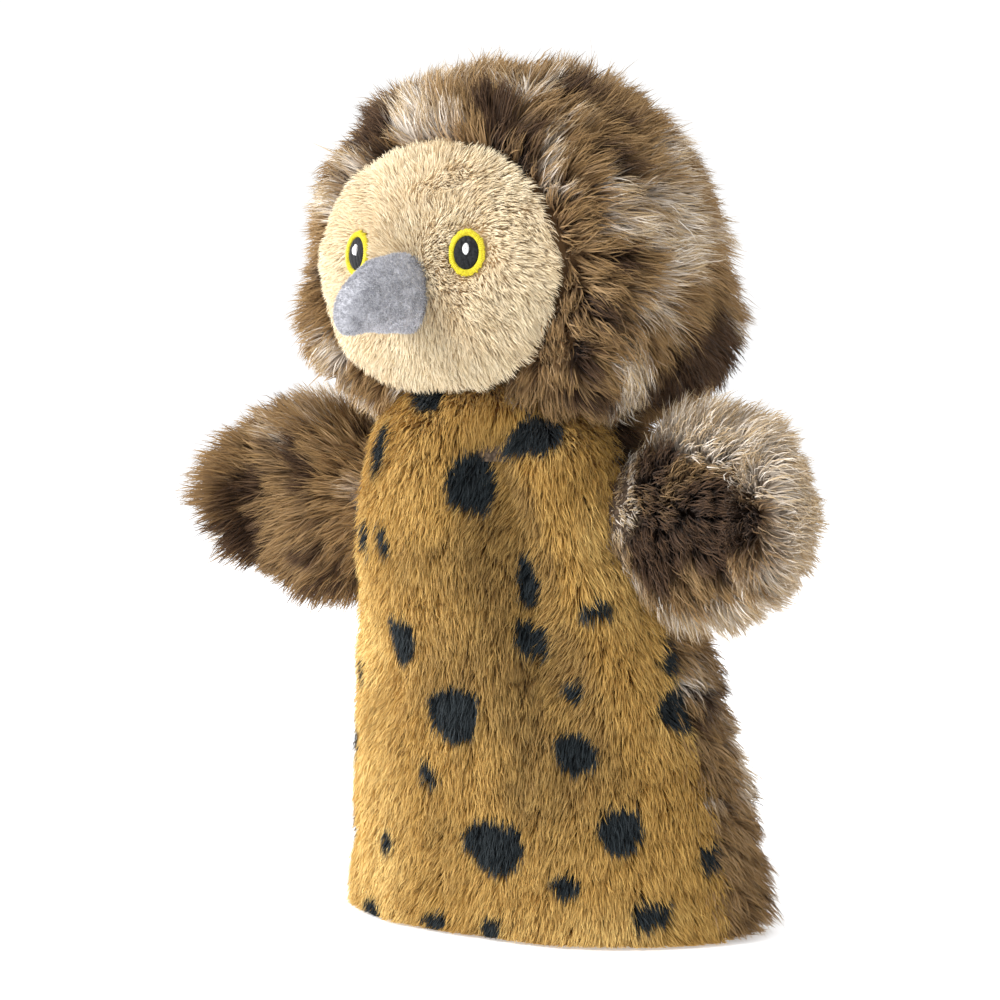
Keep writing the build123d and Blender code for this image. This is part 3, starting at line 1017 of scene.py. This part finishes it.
def beak_distance(points):
    """Distance from the beak's middle, as a share of half the beak's own width and height at the face."""
    return np.hypot(points[:, 0] / 0.0070, (points[:, 2] - 0.2078) / 0.0112)


THREAD_WIDTH = 0.00042
STITCH_POINTS = 6  # points round the edge to each stitch


def satin_oval(name, side, outer, inner, up, lift, material, stitches, radial):
    """Embroidery on the curve of the face: an oval ring of raised satin stitches, round a hole of any size.

    outer and inner are its half sizes, up its place above the eye's middle and lift its height. The stitches
    run out from the middle if radial, and side by side across the whole oval if not.
    """
    around, across = stitches * STITCH_POINTS, 9
    turns = np.linspace(0, 2 * math.pi, around, endpoint=False)
    shares = np.linspace(0, 1, across)[:, None]
    rng = np.random.default_rng(len(name) + stitches)
    ragged = np.ones((across, around))
    ragged[-1] += np.repeat(rng.uniform(-0.03, 0.05, stitches), STITCH_POINTS) * (1.0 if radial else 0.3)
    u = (inner[0] + (outer[0] - inner[0]) * shares) * np.cos(turns) * ragged
    v = (inner[1] + (outer[1] - inner[1]) * shares) * np.sin(turns) * ragged
    if radial:
        thread = np.abs(np.sin(turns * stitches / 2))
    else:
        thread = np.abs(np.sin((u + 0.35 * v) / (THREAD_WIDTH * 2 / math.pi) / 2))
    rounded = np.sqrt(1 - (2 * shares - 1) ** 2)
    height = lift * (0.35 + 0.65 * rounded) * (0.72 + 0.28 * thread)
    right, facing, middle = eye_axes(side)
    base = onto_face(middle + u[..., None] * right + (v + up)[..., None] * UP, facing)
    top = base + height[..., None] * facing
    under = base - 0.0004 * facing
    vertices = np.concatenate([top.reshape(-1, 3), under.reshape(-1, 3)])
    count = across * around
    ring = np.arange(around)
    nxt = np.roll(ring, -1)
    edge = (across - 1) * around
    faces = np.concatenate([
        grid_faces(across, around, wrap=True),
        grid_faces(across, around, wrap=True, offset=count)[:, ::-1],
        np.stack([edge + ring, edge + nxt, edge + nxt + count, edge + ring + count], 1),
        np.stack([ring + count, nxt + count, nxt, ring], 1),
    ])
    return new_object(name, vertices, faces if side > 0 else faces[:, ::-1], material)


# Each part of an eye: its thread, half sizes outside and inside, height above the eye's middle, lift off the
# face, number of stitches, and whether they run out from the middle
EYE_PARTS = {
    "ring": ("yellow", EYE_RING, (EYE_PUPIL[0] - 0.0001, EYE_PUPIL[1] - 0.0001), 0.0, 0.0013, 64, True),
    "pupil": ("charcoal", EYE_PUPIL, (0.00002, 0.00002), 0.0, 0.0011, 40, False),
    "highlight": ("white", EYE_HIGHLIGHT, (0.00001, 0.00001), EYE_HIGHLIGHT_UP, 0.0018, 16, False),
}


def make_eyes(threads):
    for side, word in SIDES:
        for part, (thread, outer, inner, up, lift, stitches, radial) in EYE_PARTS.items():
            node = f"eye_{part}_{word}"
            oval = satin_oval(f"{node}_stitches", side, outer, inner, up, lift, threads[thread], stitches,
                              radial)
            tie(oval, "head", node)


# The middle of the beak from root to tip: Y, Z, half width and half height, then its droop in degrees
BEAK_MM = np.array([
    [-74.0, 208.0, 7.6, 12.0, 0.0],
    [-82.0, 208.0, 7.8, 12.0, 2.0],
    [-90.0, 207.4, 7.7, 11.7, 9.0],
    [-97.0, 205.9, 7.3, 10.6, 22.0],
    [-102.8, 203.5, 6.6, 8.8, 38.0],
    [-107.0, 200.4, 5.3, 6.6, 53.0],
    [-109.6, 197.3, 3.2, 3.7, 64.0],
    [-110.4, 195.8, 0.3, 0.3, 70.0],
])


def beak_surface(start, end, rows=60, columns=40, inset=0.0):
    """The beak's surface between two angles about its length, 0 being the puppet's left and 90 degrees up."""
    shares = np.linspace(0, 1, rows)
    stations = np.linspace(0, 1, len(BEAK_MM))
    y, z, half_x, half_z, droop = (np.interp(shares, stations, column) for column in BEAK_MM.T)
    for line in (y, z, half_x, half_z, droop):
        for _ in range(8):
            line[1:-1] = np.convolve(line, [0.25, 0.5, 0.25], mode="same")[1:-1]
    turns = np.linspace(start, end, columns)
    tilt = np.radians(droop)[:, None]
    side = (half_x[:, None] * MM - inset) * np.cos(turns)
    up = (half_z[:, None] * MM - inset) * np.sin(turns)
    return np.stack([side, y[:, None] * MM - np.sin(tilt) * up, z[:, None] * MM + np.cos(tilt) * up], axis=-1)


def make_beak(plush):
    seam = math.radians(-38)
    upper = beak_surface(seam, math.pi - seam)
    lower = beak_surface(math.pi - seam, 2 * math.pi + seam, inset=0.0003)
    for name, points, kind, slot, seed in (
        ("beak_upper", upper, "grey", "grey_velour", 161),
        ("beak_lower", lower, "pale_grey", "beak_under_velour", 162),
    ):
        flat = points.reshape(-1, 3)
        flat = flat + unit(flat - BEAK_MIDDLE) * (ripple(flat, 0.012, 19) * 0.0004)[:, None]
        grid = flat.reshape(points.shape)
        skin = cloth_panel(f"{name}_skin", grid, plush[f"{kind}_skin"], BEAK_BACKING, BEAK_MIDDLE)
        place, normal = scatter(skin, BEAK_NAP.per_mm2, seed)
        flow = np.array([0.0, -1.0, -0.25]) + 0.5 * ripple_vector(place, 0.006, 87)
        length = np.full(len(place), 0.0011)
        fur = grow([f"{name}_nap"], BEAK_NAP, plush[kind], seed, place, normal, flow, length, 0.6)
        tie_panel(skin, fur, "head", name, padded=True)


# ---------------------------------------------------------------- wings


def wing_frame(side):
    """The directions along a wing and across it, towards the front, and its shoulder."""
    along = np.array([side * math.cos(WING_FORWARD), -math.sin(WING_FORWARD), 0.0])
    across = np.array([-side * math.sin(WING_FORWARD), -math.cos(WING_FORWARD), 0.0])
    return along, across, SHOULDER * np.array([side, 1, 1])


def wing_half_sizes(share):
    """Half height and half thickness of the wing's skin, from the root to the tip."""
    round_tip = np.sqrt(np.maximum(1 - np.clip((share - 0.42) / 0.58, 0, 1) ** 2, 0))
    fill = 0.60 + 0.40 * smooth_step(0.0, 0.45, share)
    return WING_SKIN_UP * fill * round_tip + 0.0002, WING_SKIN_OUT * (0.9 + 0.1 * fill) * round_tip + 0.0002


def wing_side(side, front, rows=70, columns=44):
    """The front or back skin of a wing, as a grid from root to tip. The back wraps round to the front."""
    along, across, shoulder = wing_frame(side)
    shares = np.linspace(0, 1, rows)
    shares = 1 - (1 - shares) ** 1.5
    seam = math.radians(66)
    turns = np.linspace(-seam, seam, columns) if front else np.linspace(seam, 2 * math.pi - seam, columns)
    half_up, half_out = wing_half_sizes(shares)
    reach = (-0.004 + (WING_SKIN_REACH + 0.004) * shares)[:, None, None] * along
    cup = 0.010 * smooth_step(0.76, 1.0, shares)[:, None]
    up = half_up[:, None] * np.sin(turns)[None, :] + WING_RISE * smooth_step(0.1, 0.7, shares)[:, None]
    out = half_out[:, None] * np.cos(turns)[None, :] + cup
    return shoulder + reach + up[..., None] * UP + out[..., None] * across


def wing_flow(points, side):
    """Away from the shoulder, fanning out to the edge of the wing."""
    along, _, shoulder = wing_frame(side)
    start = shoulder - 0.014 * along + WING_RISE * UP
    return unit((points - start) * np.array([1.0, 1.0, 1.6]))


def make_wing_panel(plush, side, word, front, seed):
    along, across, shoulder = wing_frame(side)
    name = f"wing_{word}_{'front' if front else 'back'}"
    inside = shoulder + 0.035 * along + (0.005 if front else 0.0) * across
    grid = wing_side(side, front)
    skin = cloth_panel(f"{name}_panel_skin", grid, plush[f"{name}_skin"], WING_BACKING, inside)
    paint(skin, BROWN_MARKS)
    place, normal = scatter(skin, WING_FUR.per_mm2, seed)
    reach = (place - shoulder) @ along
    height = (place - shoulder) @ UP
    flow = wing_flow(place, side) + 0.20 * ripple_vector(place, 0.020, 89)
    edge = smooth_step(0.60, 1.0, np.maximum(np.abs(height) / WING_SKIN_UP, reach / WING_SKIN_REACH))
    length = (0.0120 + 0.0020 * ripple(place, 0.015, 99)) * (1 + 0.25 * edge)
    length = length * (0.75 + 0.25 * smooth_step(0.0, 0.016, reach))
    fur = grow([f"{name}_panel_pile"], WING_FUR, plush[name], seed + 1, place, normal, flow, length,
               0.84 - 0.22 * edge, BROWN_MARKS)
    tie_panel(skin, fur, f"wing_{word}", f"{name}_panel", padded=True)


def make_wings(plush):
    for k, (side, word) in enumerate(SIDES):
        make_wing_panel(plush, side, word, True, 201 + 20 * k)
        make_wing_panel(plush, side, word, False, 211 + 20 * k)


# ---------------------------------------------------------------- linings and other inner pieces


def lining_grid(start, end, seed):
    """A lining's grid: it follows the body's skin, with soft upright folds inwards."""
    points = torso_grid(start, end, LINING_INSET + 0.0018, LINING_TOP, seed, wave=0.9, rows=90, columns=120)
    flat = points.reshape(-1, 3)
    folds = np.maximum(ripple(flat * np.array([1.0, 1.0, 0.35]), 0.024, seed + 1), 0) * 0.0022
    return (flat - away_from_axis(flat) * folds[:, None]).reshape(points.shape)


def axis_frame(axis):
    """An axis with two directions square to it and to each other."""
    axis = unit(np.array(axis, dtype=float))
    helper = UP if abs(axis[2]) < 0.9 else np.array([1.0, 0.0, 0.0])
    first = unit(np.cross(helper, axis))
    return axis, first, np.cross(axis, first)


def round_axis(centre, axis, heights, radii, turns):
    """A grid of points round an axis, from arrays of heights along it and radii that broadcast with turns."""
    axis, first, second = axis_frame(axis)
    round_it = (radii * np.cos(turns))[..., None] * first + (radii * np.sin(turns))[..., None] * second
    return centre + heights[..., None] * axis + round_it


def ball_zone(centre, axis, radius, low, high, seed, columns=120, fold=0.0008):
    """A zone of a ball about axis, between two distances along it, with soft folds towards its openings."""
    heights = np.linspace(low, high, 40)[:, None]
    turns = np.linspace(0, 2 * math.pi, columns)[None, :]
    folds = fold * np.sin(turns * 9 + seed) * (np.abs(heights) / radius)
    return round_axis(centre, axis, heights, np.sqrt(radius**2 - heights**2) + folds - fold, turns)


def finger_pocket(centre, axis, radius, low, high):
    """A soft tube along axis with a closed round end."""
    heights = np.linspace(low, high, 50)[:, None]
    turns = np.linspace(0, 2 * math.pi, 72)[None, :]
    end = 0.6 * radius
    shut = np.sqrt(1 - np.clip((heights - (high - end)) / end, 0, 1) ** 2)
    radii = (radius - 0.0004 * (1 + np.sin(turns * 5 + heights * 400))) * np.maximum(shut, 0.01)
    return round_axis(centre, axis, heights, radii, turns)


def closed_lump(name, points, material):
    """A closed mesh from a grid of rings (rings, around, 3), capped at both ends."""
    rings, around, _ = points.shape
    faces = [tuple(face) for face in grid_faces(rings, around, wrap=True)]
    faces.append(tuple(range(around - 1, -1, -1)))
    faces.append(tuple((rings - 1) * around + k for k in range(around)))
    lump = new_object(name, points.reshape(-1, 3), faces, material)
    shape = bmesh.new()
    shape.from_mesh(lump.data)
    bmesh.ops.recalc_face_normals(shape, faces=shape.faces)
    shape.to_mesh(lump.data)
    shape.free()
    return lump


def filling(name, joint, axis, centre, sizes, material, seed):
    """Filling round a finger pocket: an uneven ellipsoid, hollowed by the pocket and by the root's ball."""
    root_radius, (hole, mouth, end), half = sizes
    axis, first, second = axis_frame(axis)
    turns = np.linspace(0, 2 * math.pi, 72, endpoint=False)[None, :]
    cos, sin = np.cos(turns), np.sin(turns)
    ray = cos[..., None] * first + sin[..., None] * second
    offset = joint - centre
    across, upward, middle = offset @ first, offset @ second, -offset @ axis
    heights = (middle + half[0] * np.cos(np.linspace(math.pi, 0.02, 44)))[:, None]
    a = (cos / half[1]) ** 2 + (sin / half[2]) ** 2
    b = 2 * (across * cos / half[1] ** 2 + upward * sin / half[2] ** 2)
    c = ((heights - middle) / half[0]) ** 2 + (across / half[1]) ** 2 + (upward / half[2]) ** 2 - 1
    wide = (-b + np.sqrt(np.maximum(b * b - 4 * a * c, 0))) / (2 * a)
    skin = joint + heights[..., None] * axis + wide[..., None] * ray
    wide = wide - 0.0006 + 0.0006 * ripple(skin.reshape(-1, 3), 0.018, seed).reshape(wide.shape)
    wide = np.maximum(wide, np.where(heights < end, hole + 0.0003, 0.0001))
    skin = joint + heights[..., None] * axis + wide[..., None] * ray
    depth = np.concatenate([[end], np.linspace(end, mouth, 12)])[:, None, None]
    radii = np.concatenate([[0.02 * hole], np.full(12, hole)])[:, None, None]
    pit = joint + depth * axis + radii * ray
    blend = np.linspace(0, 1, 10)[1:-1, None, None]
    outer = np.concatenate([pit[-1:] * (1 - blend) + skin[:1] * blend, skin])
    gap = np.linalg.norm(outer - joint, axis=-1, keepdims=True)
    outer = np.where(gap < root_radius, joint + (outer - joint) / gap * root_radius, outer)
    return closed_lump(name, np.concatenate([pit, outer]), material)


def make_inner(cloth):
    def line(node, body, points, thickness, inside, material=cloth["lining"]):
        panel = cloth_panel(f"{node}_cloth", points, material, thickness, inside)
        tie_sheet(panel, body, node)

    line("front_lining", "torso", lining_grid(*FRONT_SPAN, 301), BODY_LINING, BODY_MIDDLE)
    line("back_lining", "torso", lining_grid(*BACK_SPAN, 302), BODY_LINING, BODY_MIDDLE)
    ring = torso_grid(-math.pi, math.pi, LINING_INSET + 0.0036, 0.014, 303, wave=0.8, bottom=FLOOR_CLEAR,
                      rows=14, columns=260)
    line("hem_facing", "torso", ring, FIRM_LINING, 0.007 * UP, cloth["hem"])
    tie_sheet(care_label(cloth["label"]), "torso", "care_label")
    line("neck_sleeve", "neck", ball_zone(NECK, UP, *NECK_SLEEVE, seed=2), SLEEVE_LINING, NECK)
    line("head_base", "head", ball_zone(NECK, UP, *HEAD_BASE, seed=3, fold=0.0003), FIRM_LINING, NECK)
    pocket = finger_pocket(NECK * LEVEL, UP, *HEAD_POCKET)
    line("head_finger_pocket", "head", pocket, POCKET_LINING, NECK * LEVEL + 0.22 * UP)
    for side, word in SIDES:
        along, _, shoulder = wing_frame(side)
        sleeve = ball_zone(shoulder, along, *WING_SLEEVE, seed=4, columns=90)
        line(f"wing_{word}_sleeve", f"wing_{word}_shoulder", sleeve, SLEEVE_LINING, shoulder)
        pocket = finger_pocket(shoulder, along, *WING_POCKET)
        line(f"wing_{word}_finger_pocket", f"wing_{word}", pocket, POCKET_LINING, shoulder + 0.03 * along)


def care_label(material):
    """A blank ribbon label, hanging with a slight curl."""
    low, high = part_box("care_label")
    z, x = np.meshgrid(np.linspace(low[2], high[2], 30), np.linspace(low[0], high[0], 20), indexing="ij")
    curl = 0.0014 * np.cos((z - low[2]) / (high[2] - low[2]) * 2.4) - 0.0004 * np.sin(x * 400)
    points = np.stack([x, (low[1] + high[1]) / 2 - curl, z], axis=-1)
    return cloth_panel("care_label_ribbon", points, material, LABEL_RIBBON, 0.02 * UP)


def make_stuffing(fill):
    """The fillings inside the sewn skins."""
    centre = HEAD + np.array([0.0, -0.006, -0.001])
    head = filling("head_stuffing_fibre", NECK, UP, centre, HEAD_FILLING, fill, 401)
    tie_padded(head, "head", "head_stuffing")
    around = 48
    grid = beak_surface(0, 2 * math.pi * (around - 1) / around, columns=around, inset=0.0014)
    tie_padded(closed_lump("beak_stuffing_fibre", grid, fill), "head", "beak_stuffing")
    for side, word in SIDES:
        along, _, shoulder = wing_frame(side)
        centre = shoulder + 0.0335 * along
        wing = filling(f"wing_{word}_stuffing_fibre", shoulder, along, centre, WING_FILLING, fill, 402)
        tie_padded(wing, f"wing_{word}", f"wing_{word}_stuffing")


# ---------------------------------------------------------------- how pieces join the frame


def tie(obj, body, node=None):
    """Ties a piece to its CAD body, and hides the CAD node that it replaces, if any."""
    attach(obj, body)
    if node:
        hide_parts(node)


def tie_sheet(obj, body, node):
    tie(obj, body, node)


def tie_padded(obj, body, node):
    tie(obj, body, node)


def tie_panel(skin, fur, body, node, padded=False):
    """Ties a plush panel and its pile."""
    for strands in fur:
        tie(strands, body)
    if padded:
        tie_padded(skin, body, node)
    else:
        tie_sheet(skin, body, node)


# ---------------------------------------------------------------- camera, lights and floor


def aim(obj, target):
    obj.rotation_euler = (Vector(target) - obj.location).to_track_quat("-Z", "Y").to_euler()


def make_camera():
    data = bpy.data.cameras.new("camera")
    data.lens = CAMERA_LENS
    camera = link_object("camera", data)
    turn = math.radians(CAMERA_TURN)
    camera.location = (CAMERA_DISTANCE * math.sin(turn), -CAMERA_DISTANCE * math.cos(turn), CAMERA_HEIGHT)
    aim(camera, CAMERA_AIM)
    bpy.context.scene.camera = camera


# Each lamp's place, diameter and power
LAMPS = {
    "key": ((-0.60, -1.10, 1.05), 0.8, 23.0),
    "left_fill": ((-1.2, -0.5, 0.5), 0.9, 6.0),
    "right_fill": ((1.3, 0.1, 0.6), 0.8, 2.0),
    "rim": ((0.2, 1.2, 1.0), 0.8, 7.0),
}


def make_lamps():
    for name, (place, size, power) in LAMPS.items():
        data = bpy.data.lights.new(name, "AREA")
        data.shape = "DISK"
        data.size = size
        data.energy = power
        lamp = link_object(name, data)
        lamp.location = place
        aim(lamp, (0.0, -0.02, 0.14))


def make_world():
    """A pale surround, seen by the camera as plain white."""
    world = bpy.data.worlds.new("studio")
    world.use_nodes = True
    tree = world.node_tree
    lighting = tree.nodes["Background"]
    lighting.inputs["Color"].default_value = (0.97, 0.98, 1.0, 1.0)
    lighting.inputs["Strength"].default_value = 0.78
    seen = tree.nodes.new("ShaderNodeBackground")
    seen.inputs["Color"].default_value = (1.0, 1.0, 1.0, 1.0)
    seen.inputs["Strength"].default_value = 1.05
    ray = tree.nodes.new("ShaderNodeLightPath")
    choose = tree.nodes.new("ShaderNodeMixShader")
    for k, source in enumerate((ray.outputs["Is Camera Ray"], lighting.outputs[0], seen.outputs[0])):
        tree.links.new(source, choose.inputs[k])
    tree.links.new(choose.outputs[0], tree.nodes["World Output"].inputs[0])
    bpy.context.scene.world = world
    bpy.context.scene.view_settings.view_transform = "Standard"


def make_floor():
    rows = 3
    span = np.linspace(-12.0, 12.0, rows)
    y, x = np.meshgrid(span, span, indexing="ij")
    points = np.stack([x, y, np.full_like(x, -0.0005)], axis=-1)
    nodes = Nodes("pale_floor")
    tone = nodes.noise(place_of(nodes, False), 0.8, 2.0)
    colour = nodes.mix(tone, (0.88, 0.88, 0.88), (0.92, 0.92, 0.92))
    material = nodes.finish(colour, roughness=0.9, sheen=0.0, specular=0.1)
    nodes.shader.inputs["Emission Color"].default_value = (1.0, 1.0, 1.0, 1.0)
    nodes.shader.inputs["Emission Strength"].default_value = 0.40
    new_object("floor", points.reshape(-1, 3), grid_faces(rows, rows), material)


# ---------------------------------------------------------------- everything


# Each brown panel's share of dark patches and of pale ones, and how far its mottling is moved
MOTTLING = {
    "head": (0.30, 0.66, (0.0, 0.0, 0.0)),
    "brown": (0.50, 0.65, (0.4, 0.1, 0.2)),
    "wing_left_front": (0.75, 0.65, (0.1, 0.9, 0.3)),
    "wing_left_back": (0.10, 1.60, (0.2, 0.5, 0.8)),
    "wing_right_front": (0.80, 0.25, (0.6, 0.3, 0.4)),
    "wing_right_back": (0.60, 0.60, (0.9, 0.2, 0.5)),
}

# Each thread's two tones, roughness and specular
THREADS = {
    "yellow": ((0.60, 0.49, 0.010), (0.82, 0.72, 0.030), 0.42, 0.35),
    "charcoal": ((0.006, 0.006, 0.007), (0.022, 0.023, 0.025), 0.60, 0.12),
    "white": ((0.80, 0.80, 0.82), (0.95, 0.95, 0.95), 0.42, 0.35),
}


def all_plush():
    """Two materials for each kind of plush: its strands, and the backing that shows between them."""
    kinds = {name: (brown_plush, "pile", values) for name, values in MOTTLING.items()}
    kinds["ochre"] = (ochre_plush, "pile", ())
    kinds["cream"] = (cream_plush, "pile", ())
    kinds["grey"] = (grey_velour, "nap", (1.0,))
    kinds["pale_grey"] = (grey_velour, "nap", (1.25,))
    plush = {}
    for name, (make, strands, values) in kinds.items():
        plush[name] = make(f"{name}_{strands}_material", True, *values)
        plush[f"{name}_skin"] = make(f"{name}_backing_material", False, *values)
    return plush


def build():
    plush = all_plush()
    threads = {name: stitched_thread(f"{name}_thread_material", *values) for name, values in THREADS.items()}
    cloth = {
        "lining": knitted_lining("lining_material", (0.090, 0.062, 0.042)),
        "hem": knitted_lining("hem_facing_material", (0.110, 0.078, 0.052)),
        "label": ribbon_label("label_material"),
    }
    make_torso(plush)
    make_head(plush)
    make_face(plush)
    make_eyes(threads)
    make_beak(plush)
    make_wings(plush)
    make_inner(cloth)
    make_stuffing(fibre_fill("fibre_fill_material"))
    make_camera()
    make_lamps()
    make_world()
    make_floor()


build()
